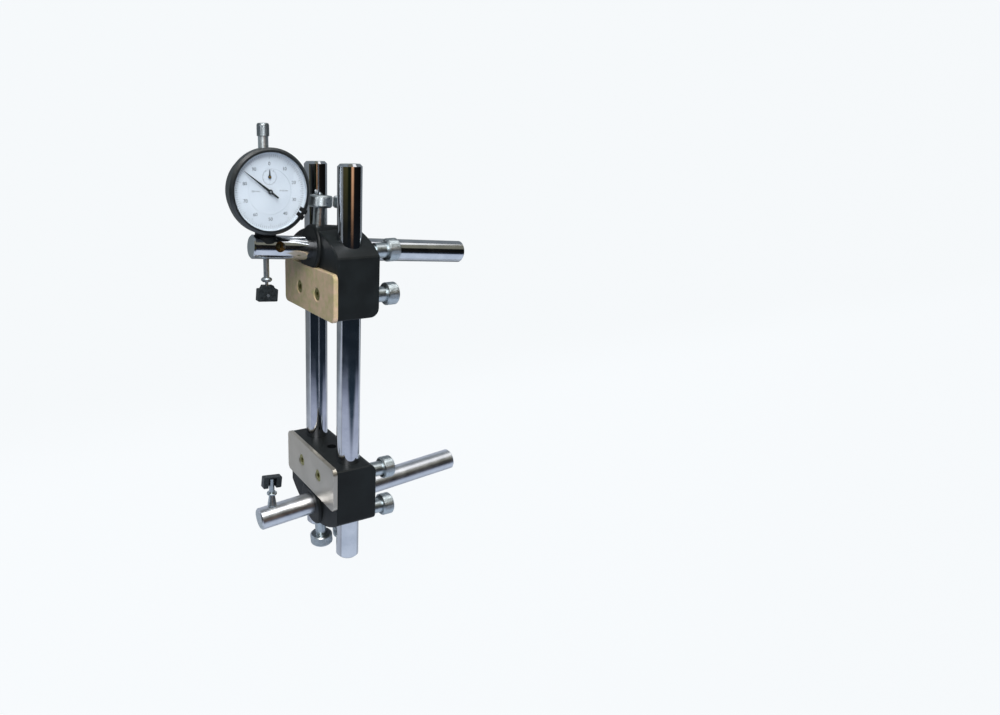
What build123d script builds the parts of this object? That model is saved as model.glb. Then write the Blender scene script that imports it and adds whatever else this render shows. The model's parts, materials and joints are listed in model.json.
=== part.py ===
from build123d import *
from math import asin, atan2, cos, degrees, pi, radians, sin, sqrt, tan
import os

# Thread pitch diameter gauge, lying on the end faces of its two blocks with the dial up.
# Millimetres. Z is up, Y runs up the columns from the fixed contact towards the dial,
# and X runs along the arms from the contacts to the free ends.
# The origin is the middle of the end face that the dial side block rests on.

# clearances
running_gap = 0.05
seat_gap = 0.05
thread_gap = 0.06
clamp_gap = 0.3
face_gap = 0.3

# columns
column_dia = 16.0
column_length = 275.0
column_spacing = 51.6
column_top = 76.6
column_chamfer = 1.6

# blocks
block_width = 80.0
block_depth = 30.0
block_height = 40.0
block_pitch = 144.6
arch_rise = 14.4
boss_radius = 15.8
boss_front = 17.5
boss_rim_fillet = 2.0
block_edge = 0.7
back_corner = 6.0
centre_hole_dia = 6.8
centre_hole_depth = 12.0

# rest plates on the block fronts
plate_thickness = 3.0
plate_height = 31.5
plate_overhang = 1.5
plate_corner = 4.0
plate_edge = 0.4
plate_screw_spacing = 28.4
plate_screw_offset = 7.0
plate_screw_dia = 5.0
plate_screw_head_dia = 9.6
plate_screw_sink = 0.6
plate_screw_length = 11.4
plate_screw_tip_room = 1.0
plate_screw_socket = 3.6

# arms
arm_dia = 15.5
arm_front = 57.5
arm_rear = 105.0
arm_tilt = 4.76
arm_offset = 20.1
arm_chamfer = 0.9

# thumb screws
thumb_thread_dia = 8.0
knob_chamfer = 0.9
arm_knob_dia = 16.3
arm_knob_height = 7.7
arm_stem_length = 11.4
arm_screw_spacing = 18.6
arm_screw_shift = -1.9
column_knob_dia = 15.2
column_knob_height = 8.7
column_neck_length = 3.0
column_collar_dia = 10.4
column_collar_length = 8.2
column_screw_inset = 11.5
column_screw_rise = 1.0

# dial indicator: its case, bezel and dial
dial_x = -47.2
foot_reach = 2.4
case_radius = 25.4
case_taper = 1.6
case_wall = 4.6
case_edge = 0.4
stem_cover = 2.0
shoulder_wall = 0.65
cover_thickness = 1.5
cover_inset = 0.5
cover_screw_inset = 1.2
cover_screw_count = 4
cover_screw_dia = 1.6
cover_screw_head_dia = 2.0
cover_screw_head_height = 0.6
cover_screw_length = 4.0
web_thickness = 1.4
spigot_step = 1.1
spigot_rim = 1.2
bezel_overhang = 1.2
bezel_wall = 2.3
bezel_bevel = 1.5
bezel_seat = 0.5
crystal_ledge = 0.5
crystal_recess = 0.35
crystal_thickness = 1.2
dial_seat_thickness = 0.3
dial_plate_thickness = 0.8
dial_depth = 3.4
dial_seam_radius = 14.0
dial_leg_dia = 2.4
dial_leg_circle_radius = 11.0
dial_leg_angles = (30.0, 150.0, 270.0)
arbor_hole_dia = 2.0
marker_width = 2.6
marker_angles = (-38.5, -29.5)
marker_inner = 21.2
marker_thickness = 0.7
lock_screw_angle = 50.0
lock_screw_drop = 3.6
lock_screw_dia = 1.8
lock_head_dia = 3.6
lock_head_height = 2.2
lock_head_chamfer = 0.3

# spindle line of the indicator
spindle_dia = 3.8
spindle_travel = 10.0
spindle_reach = 12.2
stem_dia = 8.0
stem_floor = 1.15
stem_end_room = 0.5
spindle_hole_room = 0.4
wall_setback = 0.4
foot_dia = 15.2
foot_neck_dia = 13.6
foot_skirt = 4.6
foot_shoulder = 0.8
foot_horn = 3.0
tube_dia = 6.5
tube_length = 7.8
cap_dia = 7.6
cap_length = 7.8
cap_wall = 0.9
cap_rounding = 1.2
cap_room = 0.5
cap_spare = 1.0
nut_dia = 7.2
nut_height = 2.6
nut_chamfer = 0.8
neck_dia = 2.2
neck_length = 2.4

# movement inside the case
rack_pitch = 1.0
rack_cut = 0.7
rack_mesh_depth = 0.26
rack_groove_mouth = 0.34
rack_groove_floor = 0.2
rack_groove_start = 0.1
rack_spare_teeth = 3
pinion_teeth = 10
pinion_addendum = 0.22
pinion_dedendum = 0.38
pinion_tooth = 0.44
gear_teeth = 60
centre_teeth = 6
gear_module = 0.27
gear_addendum = 0.2
gear_dedendum = 0.3
tooth_root_share = 0.62
tooth_tip_share = 0.3
gear_thickness = 0.8
gear_lift = 0.5
pinion_overhang = 0.2
web_lift = 0.7
arbor_dia = 1.0
arbor_end_room = 0.2
bridge_thickness = 1.0
bridge_radius = 17.4
pillar_circle_radius = 15.0
pillar_angles = (20.0, 160.0, 320.0)
pillar_dia = 4.0
bridge_screw_dia = 1.6
bridge_screw_length = 2.6
bridge_screw_head_dia = 2.6
bridge_screw_head_height = 0.8

# hands
main_hand_angle = 142.5
main_hand_length = 21.0
main_hand_tail = 6.4
main_hand_hub_dia = 3.0
main_hand_root_width = 1.5
main_hand_tail_width = 1.1
main_hand_thickness = 0.5
main_hand_lift = 1.0
main_arbor_rise = 1.6
small_hand_angle = 90.0
small_hand_length = 4.2
small_hand_hub_dia = 2.0
small_hand_root_width = 1.0
small_hand_thickness = 0.4
small_hand_lift = 0.3
small_arbor_rise = 0.9
hand_tip_width = 0.22

# contact shoes
shoe_length = 13.6
shoe_depth = 4.6
shoe_height = 8.3
shoe_corner = 0.8
shoe_swivel = 12.0
shoe_hub_rise = 2.3
shoe_hub_top = 7.2
shoe_hub_base = 9.6
shoe_slot = 2.6
shoe_pin_dia = 2.2
shoe_pin_head = 0.2
tongue_thickness = 2.0
indicator_shoe_tilt = -4.76
anvil_shoe_tilt = -6.0

# fixed contact post
post_foot_dia = 6.4
post_foot_height = 9.1
post_foot_rim = 0.6
post_waist_dia = 3.9
post_thread_dia = 5.0
post_thread_length = 10.0
post_nut_dia = 7.2
post_nut_height = 1.4
post_nut_rounding = 0.4
post_pin_dia = 3.9
post_reach = 7.6
post_head = 3.2
post_grip = 3.4
post_flat_start = 1.0
post_cross_depth = 0.5

# stem clamp in the indicator arm
clamp_x = -40.0
clamp_hole_dia = 6.9
clamp_rise = 1.2
clamp_recess = 3.4
clamp_screw_dia = 3.5
clamp_cotter_below = 2.0
clamp_screw_tip_room = 0.8
clamp_head_height = 2.6
clamp_head_sink = 1.2
clamp_head_room = 0.4
clamp_socket = 2.5
clamp_socket_depth = 1.8

# heights and places that follow from the sizes
mid_height = block_width / 2
tilt = radians(arm_tilt)
arm_radius = arm_dia / 2
column_low = mid_height - column_spacing / 2
column_high = mid_height + column_spacing / 2
block_front = -block_depth / 2
block_back = block_depth / 2
anvil_y = -block_pitch
indicator_saddle_y = arm_offset - dial_x * tan(tilt)
anvil_saddle_y = anvil_y - indicator_saddle_y
dial_y = indicator_saddle_y + arm_radius + foot_reach + case_radius
case_back = mid_height - stem_dia / 2 - stem_cover
case_shoulder = mid_height + stem_dia / 2 + shoulder_wall
case_inner = case_radius - case_wall
case_back_radius = case_radius - case_taper
cover_radius = case_back_radius - cover_inset
cover_screw_circle_radius = cover_radius - cover_screw_inset
bridge_bottom = mid_height + spindle_dia / 2 + face_gap
bridge_top = bridge_bottom + bridge_thickness
gear_bottom = bridge_top + gear_lift
gear_top = gear_bottom + gear_thickness
web_bottom = gear_top + web_lift
web_top = web_bottom + web_thickness
spigot_radius = case_radius - spigot_step
spigot_top = web_top + spigot_rim
bezel_radius = case_radius + bezel_overhang
bezel_bore = spigot_radius + running_gap
dial_plate_radius = bezel_radius - bezel_wall
bezel_window = dial_plate_radius - crystal_ledge
dial_seat = spigot_top + face_gap + dial_seat_thickness
dial_face = dial_seat + dial_plate_thickness
bezel_front = dial_face + dial_depth
crystal_top = bezel_front - crystal_recess
marker_sweep = bezel_radius + 2 * face_gap + marker_thickness
gear_radius = gear_module * gear_teeth / 2
centre_radius = gear_module * centre_teeth / 2
mesh_distance = gear_radius + centre_radius
pinion_radius = rack_pitch * pinion_teeth / (2 * pi)
rack_arbor_x = -(spindle_dia / 2 - rack_mesh_depth + pinion_radius)
rack_arbor_y = -sqrt(mesh_distance ** 2 - rack_arbor_x ** 2)
stem_bottom = indicator_saddle_y - arm_radius + stem_floor
tube_top = dial_y + case_radius + tube_length
spindle_top = tube_top + cap_length - cap_wall - cap_spare - spindle_travel
nut_top = indicator_saddle_y - arm_radius - spindle_reach
neck_top = nut_top - nut_height
indicator_shoe_y = neck_top - neck_length - shoe_hub_rise - shoe_height / 2
post_base = anvil_saddle_y + arm_radius
post_nut_bottom = post_base + post_foot_height
anvil_shoe_y = post_nut_bottom + post_nut_height + post_reach
sides = {"indicator": (1, 0.0), "anvil": (-1, anvil_y)}

os.makedirs("parts", exist_ok=True)


def keep(part, name):
    part.label = name
    export_step(part, "parts/" + name + ".step")


def arm_plane(side, centre_y):
    # plane across an arm where it crosses the columns, its normal pointing to the free end
    outward = (sin(tilt), side * cos(tilt), 0)
    along = (cos(tilt), -side * sin(tilt), 0)
    return Plane(origin=(0, centre_y + side * arm_offset, mid_height), x_dir=outward, z_dir=along)


def up_plane(x, y, z):
    # plane across a line that runs up the columns
    return Plane(origin=(x, y, z), x_dir=(1, 0, 0), z_dir=(0, 1, 0))


def arm_screw_planes(side, centre_y):
    # planes across the clamp screws over an arm, from the arm's own centre line
    across = arm_plane(side, centre_y)
    planes = []
    for end in (-1, 1):
        along = arm_screw_shift + end * arm_screw_spacing / 2
        origin = across.from_local_coords(Vector(0, 0, along))
        planes.append(Plane(origin=origin, x_dir=across.z_dir, z_dir=across.x_dir))
    return planes


def column_screw_spots(side, centre_y):
    # two screws on the dial side column, and one on the rest side column past the arm
    inner = centre_y - side * (block_height / 2 - column_screw_inset)
    outer = centre_y + side * (block_height / 2 + column_screw_rise)
    return {"dial_side_inner": (inner, column_high), "dial_side_outer": (outer, column_high),
            "rest_side_outer": (outer, column_low)}


def make_columns():
    for name, height in (("column_dial_side", column_high), ("column_rest_side", column_low)):
        with BuildPart() as column:
            with BuildSketch(up_plane(0, column_top - column_length, height)):
                Circle(column_dia / 2)
            extrude(amount=column_length)
            chamfer(column.edges().filter_by(GeomType.CIRCLE), length=column_chamfer)
        keep(column.part, name)


def plate_middle(side, centre_y):
    return centre_y - side * (block_height / 2 + plate_overhang - plate_height / 2)


def arm_boss(side, centre_y):
    # round boss that leans with the arm, its front rim rounded
    with BuildPart() as boss:
        with BuildSketch(arm_plane(side, centre_y).offset(-boss_front)):
            Circle(boss_radius)
        extrude(amount=boss_front + block_depth)
        fillet(boss.faces().sort_by(Axis.X)[0].edges(), radius=boss_rim_fillet)
        split(bisect_by=Plane.YZ.offset(block_back), keep=Keep.BOTTOM)
    return boss.part


def make_block(name, side, centre_y):
    boss = arm_boss(side, centre_y)
    inner = centre_y - side * block_height / 2
    shoulder = centre_y + side * block_height / 2
    with BuildPart() as block:
        # arched side profile, run from the front to the back
        with BuildSketch(Plane.YZ.offset(block_front)):
            with BuildLine():
                Polyline((shoulder, 0), (inner, 0), (inner, block_width), (shoulder, block_width))
                crown = (shoulder + side * arch_rise, mid_height)
                ThreePointArc((shoulder, block_width), crown, (shoulder, 0))
            make_face()
        extrude(amount=block_depth)
        low_back = block.edges().filter_by(Axis.Z).group_by(Axis.X)[-1]
        low_back = low_back.sort_by_distance((block_back, inner, mid_height))[0]
        fillet(low_back, radius=back_corner)
        chamfer(block.edges().filter_by(Axis.Z, reverse=True), length=block_edge)
        add(boss)
        # flat seat for the rest plate across the front of the boss
        with BuildSketch(Plane.YZ.offset(block_front)):
            with Locations((plate_middle(side, centre_y), mid_height)):
                Rectangle(plate_height + 2 * seat_gap, block_width)
        extrude(amount=-boss_front, mode=Mode.SUBTRACT)
        # bores for the columns and the arm
        for height in (column_low, column_high):
            with BuildSketch(up_plane(0, centre_y, height)):
                Circle(column_dia / 2 + running_gap)
            extrude(amount=block_height * 2, both=True, mode=Mode.SUBTRACT)
        with BuildSketch(arm_plane(side, centre_y)):
            Circle(arm_radius + running_gap)
        extrude(amount=block_depth, both=True, mode=Mode.SUBTRACT)
        # threaded holes for the clamp screws
        for across in arm_screw_planes(side, centre_y):
            with BuildSketch(across.offset(arm_radius / 2)):
                Circle(thumb_thread_dia / 2 + thread_gap)
            extrude(amount=boss_radius * 2, mode=Mode.SUBTRACT)
        for y, height in column_screw_spots(side, centre_y).values():
            with BuildSketch(Plane.YZ.offset(column_dia / 4)):
                with Locations((y, height)):
                    Circle(thumb_thread_dia / 2 + thread_gap)
            extrude(amount=block_depth, mode=Mode.SUBTRACT)
        # plate screw holes in the front and the tapped hole in the inner face
        with BuildSketch(Plane.YZ.offset(block_front)):
            with Locations((centre_y - side * plate_screw_offset, mid_height)):
                with GridLocations(1, plate_screw_spacing, 1, 2):
                    Circle(plate_screw_dia / 2 + thread_gap)
        extrude(amount=plate_screw_sink + plate_screw_length - plate_thickness + plate_screw_tip_room,
                mode=Mode.SUBTRACT)
        with BuildSketch(up_plane(0, inner, mid_height)):
            Circle(centre_hole_dia / 2)
        extrude(amount=side * centre_hole_depth, mode=Mode.SUBTRACT)
    keep(block.part, name)


def make_plate(name, side, centre_y):
    screw_y = centre_y - side * plate_screw_offset
    with BuildPart() as plate:
        with BuildSketch(Plane.YZ.offset(block_front - plate_thickness)):
            with Locations((plate_middle(side, centre_y), mid_height)):
                RectangleRounded(plate_height, block_width, plate_corner)
        extrude(amount=plate_thickness)
        front = plate.faces().sort_by(Axis.X)[0]
        chamfer(front.edges(), length=plate_edge)
        middle = (block_front - plate_thickness, screw_y, mid_height)
        across = Plane(origin=middle, x_dir=(0, 1, 0), z_dir=(-1, 0, 0))
        with Locations(across):
            with GridLocations(1, plate_screw_spacing, 1, 2):
                CounterSinkHole(plate_screw_dia / 2 + thread_gap, plate_screw_head_dia / 2 + seat_gap,
                                depth=plate_thickness * 2, counter_sink_angle=90)
    keep(plate.part, name)


def make_plate_screws(name, side, centre_y):
    # two countersunk socket screws, their heads sunk below the plate's face
    screw_y = centre_y - side * plate_screw_offset
    head_radius = plate_screw_head_dia / 2 - plate_screw_sink
    head_depth = head_radius - plate_screw_dia / 2
    face = block_front - plate_thickness + plate_screw_sink
    with BuildPart() as screws:
        for end in (-1, 1):
            height = mid_height + end * plate_screw_spacing / 2
            with BuildSketch(Plane(origin=(face, screw_y, height), x_dir=(1, 0, 0), z_dir=(0, 0, 1))):
                with BuildLine():
                    Polyline((0, 0), (0, head_radius), (head_depth, plate_screw_dia / 2),
                             (plate_screw_length, plate_screw_dia / 2), (plate_screw_length, 0), close=True)
                make_face()
            revolve(axis=Axis((face, screw_y, height), (1, 0, 0)))
            with BuildSketch(Plane.YZ.offset(face)):
                with Locations((screw_y, height)):
                    RegularPolygon(plate_screw_socket / 2, 6, major_radius=False)
            extrude(amount=head_depth, mode=Mode.SUBTRACT)
    keep(screws.part, name)


def make_arm(name, side, centre_y, saddle_y):
    with BuildPart() as arm:
        with BuildSketch(arm_plane(side, centre_y).offset(-arm_front)):
            Circle(arm_radius)
        extrude(amount=arm_front + arm_rear)
        chamfer(arm.edges().filter_by(GeomType.CIRCLE), length=arm_chamfer)
        if side > 0:
            # stepped cross hole for the indicator stem and its spindle
            with BuildSketch(up_plane(dial_x, stem_bottom - stem_end_room, mid_height)):
                Circle(stem_dia / 2 + seat_gap)
            extrude(amount=arm_dia * 2, mode=Mode.SUBTRACT)
            with BuildSketch(up_plane(dial_x, saddle_y, mid_height)):
                Circle(spindle_dia / 2 + spindle_hole_room)
            extrude(amount=-arm_dia, mode=Mode.SUBTRACT)
            # side hole of the stem clamp, which cuts into the stem's hole
            with BuildSketch(Plane.XY.offset(mid_height)):
                with Locations((clamp_x, clamp_y())):
                    Circle(clamp_hole_dia / 2)
            extrude(amount=arm_dia, both=True, mode=Mode.SUBTRACT)
        else:
            # threaded hole for the fixed contact post
            with BuildSketch(up_plane(dial_x, saddle_y + arm_radius - post_thread_length, mid_height)):
                Circle(post_thread_dia / 2 + thread_gap)
            extrude(amount=arm_dia, mode=Mode.SUBTRACT)
    keep(arm.part, name)


def round_edges(piece, radius):
    # the circular edges of a piece's widest round stretch
    return piece.edges().filter_by(lambda e: e.geom_type == GeomType.CIRCLE and e.radius > radius - seat_gap)


def thumb_screw(name, across, reach, neck_length, collar_length, knob_dia, knob_height):
    # across lies at the clamped surface, reach is from there to the outside of the block
    with BuildPart() as screw:
        with BuildSketch(across.offset(clamp_gap)):
            Circle(thumb_thread_dia / 2)
        extrude(amount=reach - clamp_gap + neck_length)
        if collar_length > 0:
            with BuildSketch(across.offset(reach + neck_length)):
                Circle(column_collar_dia / 2)
            extrude(amount=collar_length)
        with BuildSketch(across.offset(reach + neck_length + collar_length)):
            Circle(knob_dia / 2)
        extrude(amount=knob_height)
        chamfer(round_edges(screw, knob_dia / 2), length=knob_chamfer)
    keep(screw.part, name)


def make_thumb_screws(name, side, centre_y):
    for place, across in zip(("front", "rear"), arm_screw_planes(side, centre_y)):
        thumb_screw(name + "_arm_screw_" + place, across.offset(arm_radius), boss_radius - arm_radius,
                    arm_stem_length, 0, arm_knob_dia, arm_knob_height)
    for place, spot in column_screw_spots(side, centre_y).items():
        across = Plane(origin=(column_dia / 2, spot[0], spot[1]), x_dir=(0, 1, 0), z_dir=(1, 0, 0))
        thumb_screw(name + "_column_screw_" + place, across, block_back - column_dia / 2,
                    column_neck_length, column_collar_length, column_knob_dia, column_knob_height)


def dial_ring(outline):
    # a closed (radius, height) outline turned about the dial's centre line
    with BuildPart() as ring:
        with BuildSketch(Plane(origin=(dial_x, dial_y, 0), x_dir=(1, 0, 0), z_dir=(0, -1, 0))):
            with BuildLine():
                Polyline(*outline, close=True)
            make_face()
        revolve(axis=Axis((dial_x, dial_y, 0), (0, 0, 1)))
    return ring.part


def polar_spots(radius, angles):
    # points on a circle about the dial's centre line
    return [(dial_x + radius * cos(radians(angle)), dial_y + radius * sin(radians(angle)))
            for angle in angles]


pillar_spots = polar_spots(pillar_circle_radius, pillar_angles)
cover_screw_angles = [45 + 360 * n / cover_screw_count for n in range(cover_screw_count)]
cover_screw_spots = polar_spots(cover_screw_circle_radius, cover_screw_angles)
counter_spot = (dial_x, dial_y + mesh_distance)
rack_arbor_spot = (dial_x + rack_arbor_x, dial_y + rack_arbor_y)


def disc_group(spots, radius, bottom, height):
    # upright round pieces of one size, standing at several spots
    with BuildPart() as group:
        with BuildSketch(Plane.XY.offset(bottom)):
            with Locations(*spots):
                Circle(radius)
        extrude(amount=height)
    return group.part


def lock_screw_plane():
    turn = radians(lock_screw_angle)
    return Plane(origin=(dial_x, dial_y, case_shoulder - lock_screw_drop), x_dir=(0, 0, 1),
                 z_dir=(cos(turn), sin(turn), 0))


def make_case():
    outline = [(case_inner, case_back), (case_back_radius - case_edge, case_back),
               (case_back_radius, case_back + case_edge), (case_radius, case_shoulder),
               (spigot_radius, case_shoulder), (spigot_radius, spigot_top), (case_inner, spigot_top),
               (case_inner, web_top), (0, web_top), (0, web_bottom), (case_inner, web_bottom)]
    with BuildPart() as case:
        add(dial_ring(outline))
        # pillars for the movement bridge, tapped for its screws
        add(disc_group(pillar_spots, pillar_dia / 2, bridge_top, web_bottom - bridge_top))
        add(disc_group(pillar_spots, bridge_screw_dia / 2 + thread_gap, bridge_top, web_bottom - bridge_top),
            mode=Mode.SUBTRACT)
        # bearing holes in the front web
        arbor_spots = [(dial_x, dial_y), counter_spot, rack_arbor_spot]
        add(disc_group(arbor_spots, arbor_dia / 2 + running_gap, web_bottom, web_thickness),
            mode=Mode.SUBTRACT)
        # holes in the wall for the stem below and the spindle tube above
        with BuildSketch(up_plane(dial_x, dial_y, mid_height)):
            Circle(stem_dia / 2 + seat_gap)
        extrude(amount=-case_radius * 2, mode=Mode.SUBTRACT)
        with BuildSketch(up_plane(dial_x, dial_y, mid_height)):
            Circle(tube_dia / 2 + seat_gap)
        extrude(amount=case_radius * 2, mode=Mode.SUBTRACT)
        add(disc_group(cover_screw_spots, cover_screw_dia / 2 + thread_gap, case_back,
                       cover_screw_length + seat_gap), mode=Mode.SUBTRACT)
        # seat of the bezel lock screw on the rim
        with BuildSketch(lock_screw_plane().offset(case_inner + case_wall / 2)):
            Circle(lock_screw_dia / 2 + thread_gap)
        extrude(amount=case_wall, mode=Mode.SUBTRACT)
    keep(case.part, "dial_case")

    with BuildPart() as cover:
        with BuildSketch(Plane.XY.offset(case_back - cover_thickness)):
            with Locations((dial_x, dial_y)):
                Circle(cover_radius)
        extrude(amount=cover_thickness)
        chamfer(cover.faces().sort_by(Axis.Z)[0].edges(), length=case_edge)
        add(disc_group(cover_screw_spots, cover_screw_dia / 2 + thread_gap, case_back - cover_thickness,
                       cover_thickness), mode=Mode.SUBTRACT)
    keep(cover.part, "case_back_cover")

    with BuildPart() as cover_screws:
        add(disc_group(cover_screw_spots, cover_screw_head_dia / 2,
                       case_back - cover_thickness - cover_screw_head_height, cover_screw_head_height))
        add(disc_group(cover_screw_spots, cover_screw_dia / 2, case_back - cover_thickness,
                       cover_thickness + cover_screw_length))
    keep(cover_screws.part, "back_cover_screws")

    with BuildPart() as lock_screw:
        with BuildSketch(lock_screw_plane().offset(case_inner + case_wall / 2 + seat_gap)):
            Circle(lock_screw_dia / 2)
        extrude(amount=case_wall / 2 + face_gap - seat_gap)
        with BuildSketch(lock_screw_plane().offset(case_radius + face_gap)):
            Circle(lock_head_dia / 2)
        extrude(amount=lock_head_height)
        chamfer(round_edges(lock_screw, lock_head_dia / 2), length=lock_head_chamfer)
    keep(lock_screw.part, "bezel_lock_screw")


def make_bezel():
    pocket = dial_plate_radius + seat_gap
    ledge = pocket - bezel_seat
    crystal_bottom = crystal_top - crystal_thickness
    outline = [(bezel_bore, case_shoulder + face_gap), (bezel_radius, case_shoulder + face_gap),
               (bezel_radius, bezel_front - bezel_bevel), (bezel_radius - bezel_bevel, bezel_front),
               (bezel_window, bezel_front), (bezel_window, crystal_top), (pocket, crystal_top),
               (pocket, dial_seat), (ledge, dial_seat), (ledge, dial_seat - dial_seat_thickness),
               (bezel_bore, dial_seat - dial_seat_thickness)]
    keep(dial_ring(outline), "bezel")
    keep(dial_ring([(0, crystal_bottom), (dial_plate_radius, crystal_bottom),
                    (dial_plate_radius, crystal_top), (0, crystal_top)]), "crystal")
    keep(dial_ring([(bezel_window, dial_face), (dial_plate_radius, dial_face),
                    (dial_plate_radius, crystal_bottom), (bezel_window, crystal_bottom)]), "crystal_ring")
    # the graduated ring turns with the bezel round a fixed centre
    seam = dial_seam_radius + face_gap / 2
    keep(dial_ring([(seam, dial_seat), (dial_plate_radius, dial_seat), (dial_plate_radius, dial_face),
                    (seam, dial_face)]), "dial_plate")

    with BuildPart() as centre:
        add(disc_group([(dial_x, dial_y)], dial_seam_radius - face_gap / 2, dial_seat, dial_plate_thickness))
        leg_spots = polar_spots(dial_leg_circle_radius, dial_leg_angles)
        add(disc_group(leg_spots, dial_leg_dia / 2, web_top, dial_seat - web_top))
        add(disc_group([(dial_x, dial_y), counter_spot], arbor_hole_dia / 2, dial_seat, dial_plate_thickness),
            mode=Mode.SUBTRACT)
    keep(centre.part, "dial_centre")


def make_markers():
    # two limit markers that hook over the bezel and slide round it
    for name, angle in zip(("limit_marker_low", "limit_marker_high"), marker_angles):
        turn = radians(angle)
        radial = Plane(origin=(dial_x, dial_y, 0), x_dir=(cos(turn), sin(turn), 0),
                       z_dir=(sin(turn), -cos(turn), 0))
        bevel_edge = bezel_radius - bezel_bevel
        bevel_step = marker_thickness * tan(radians(22.5))
        top = bezel_front + face_gap
        outer = bezel_radius + face_gap
        with BuildPart() as marker:
            with BuildSketch(radial.offset(-marker_width / 2)):
                with BuildLine():
                    Polyline((marker_inner, top), (bevel_edge, top), (outer, bezel_front - bezel_bevel),
                             (outer, case_shoulder + face_gap),
                             (outer + marker_thickness, case_shoulder + face_gap),
                             (outer + marker_thickness, bezel_front - bezel_bevel + bevel_step),
                             (bevel_edge + bevel_step, top + marker_thickness),
                             (marker_inner, top + marker_thickness), close=True)
                make_face()
            extrude(amount=marker_width)
        keep(marker.part, name)


def make_foot():
    # black collar on the stem, saddled on the arm below and on the case above
    skirt_bottom = indicator_saddle_y + arm_radius - foot_skirt
    neck_bottom = indicator_saddle_y + arm_radius - foot_shoulder
    neck_end = dial_y - case_radius + foot_horn
    # room for the case, and above its shoulder for the bezel and the markers that turn with it
    room = [(0, 0), (case_back_radius + seat_gap, 0), (case_back_radius + seat_gap, case_back + case_edge),
            (case_radius + seat_gap, case_shoulder), (marker_sweep, case_shoulder),
            (marker_sweep, block_width), (0, block_width)]
    with BuildPart() as foot:
        with BuildSketch(up_plane(dial_x, neck_bottom, mid_height)):
            Circle(foot_neck_dia / 2)
        extrude(amount=neck_end - neck_bottom)
        with BuildSketch(up_plane(dial_x, skirt_bottom, mid_height)):
            Circle(foot_dia / 2)
        extrude(amount=neck_bottom - skirt_bottom)
        with BuildSketch(arm_plane(1, 0.0)):
            Circle(arm_radius + seat_gap)
        extrude(amount=-arm_front * 2, mode=Mode.SUBTRACT)
        add(dial_ring(room), mode=Mode.SUBTRACT)
        with BuildSketch(up_plane(dial_x, skirt_bottom, mid_height)):
            Circle(stem_dia / 2 + seat_gap)
        extrude(amount=case_radius, mode=Mode.SUBTRACT)
    keep(foot.part, "stem_foot")


def make_stem():
    with BuildPart() as stem:
        with BuildSketch(up_plane(dial_x, stem_bottom, mid_height)):
            Circle(stem_dia / 2)
            Circle(spindle_dia / 2 + running_gap, mode=Mode.SUBTRACT)
        extrude(amount=dial_y - case_inner - wall_setback - stem_bottom)
    keep(stem.part, "indicator_stem")

    tube_bottom = dial_y + case_inner + wall_setback
    with BuildPart() as tube:
        with BuildSketch(up_plane(dial_x, tube_bottom, mid_height)):
            Circle(tube_dia / 2)
            Circle(spindle_dia / 2 + running_gap, mode=Mode.SUBTRACT)
        extrude(amount=tube_top - tube_bottom)
    keep(tube.part, "spindle_tube")

    with BuildPart() as cap:
        with BuildSketch(up_plane(dial_x, tube_top, mid_height)):
            Circle(cap_dia / 2)
        extrude(amount=cap_length)
        fillet(cap.faces().sort_by(Axis.Y)[-1].edges(), radius=cap_rounding)
        with BuildSketch(up_plane(dial_x, tube_top, mid_height)):
            Circle(spindle_dia / 2 + cap_room)
        extrude(amount=cap_length - cap_wall, mode=Mode.SUBTRACT)
    keep(cap.part, "spindle_cap")


def shoe_plane(centre_y, turn):
    # plane across a shoe at its cross pin, its own x along the shoe
    angle = radians(turn)
    return Plane(origin=(dial_x, centre_y, mid_height), x_dir=(cos(angle), sin(angle), 0), z_dir=(0, 0, 1))


def swing_slot(width, reach):
    # slot width that lets a shoe swivel on something this wide, which it covers for this far from the pin
    return width + 2 * (reach * tan(radians(shoe_swivel)) + face_gap)


def make_spindle():
    tongue_end = neck_top - neck_length
    rack_height = dial_y + rack_arbor_y
    with BuildPart() as spindle:
        with BuildSketch(up_plane(dial_x, nut_top, mid_height)):
            Circle(spindle_dia / 2)
        extrude(amount=spindle_top - nut_top)
        with BuildSketch(up_plane(dial_x, neck_top, mid_height)):
            Circle(nut_dia / 2)
        extrude(amount=nut_height)
        chamfer(round_edges(spindle, nut_dia / 2), length=nut_chamfer)
        # neck and flat tongue that carries the shoe
        with BuildSketch(up_plane(dial_x, neck_top, mid_height)):
            Circle(neck_dia / 2)
        extrude(amount=-neck_length)
        with BuildSketch(Plane.XY.offset(mid_height - tongue_thickness / 2)):
            with Locations((dial_x, indicator_shoe_y)):
                Circle(shoe_pin_dia)
            with Locations((dial_x, (indicator_shoe_y + tongue_end) / 2)):
                Rectangle(neck_dia, tongue_end - indicator_shoe_y)
        extrude(amount=tongue_thickness)
        with BuildSketch(Plane.XY.offset(mid_height)):
            with Locations((dial_x, indicator_shoe_y)):
                Circle(shoe_pin_dia / 2 + running_gap)
        extrude(amount=tongue_thickness, both=True, mode=Mode.SUBTRACT)
        # rack teeth on the side towards the pinion
        for step in range(-round(spindle_travel / rack_pitch) - rack_spare_teeth, rack_spare_teeth):
            cut_y = rack_height + step * rack_pitch
            with BuildSketch(Plane(origin=(dial_x - spindle_dia / 2, cut_y, mid_height))):
                with BuildLine():
                    Polyline((-rack_groove_start, -rack_groove_mouth), (rack_cut, -rack_groove_floor),
                             (rack_cut, rack_groove_floor), (-rack_groove_start, rack_groove_mouth),
                             close=True)
                make_face()
            extrude(amount=spindle_dia, both=True, mode=Mode.SUBTRACT)
    keep(spindle.part, "spindle")


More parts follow.
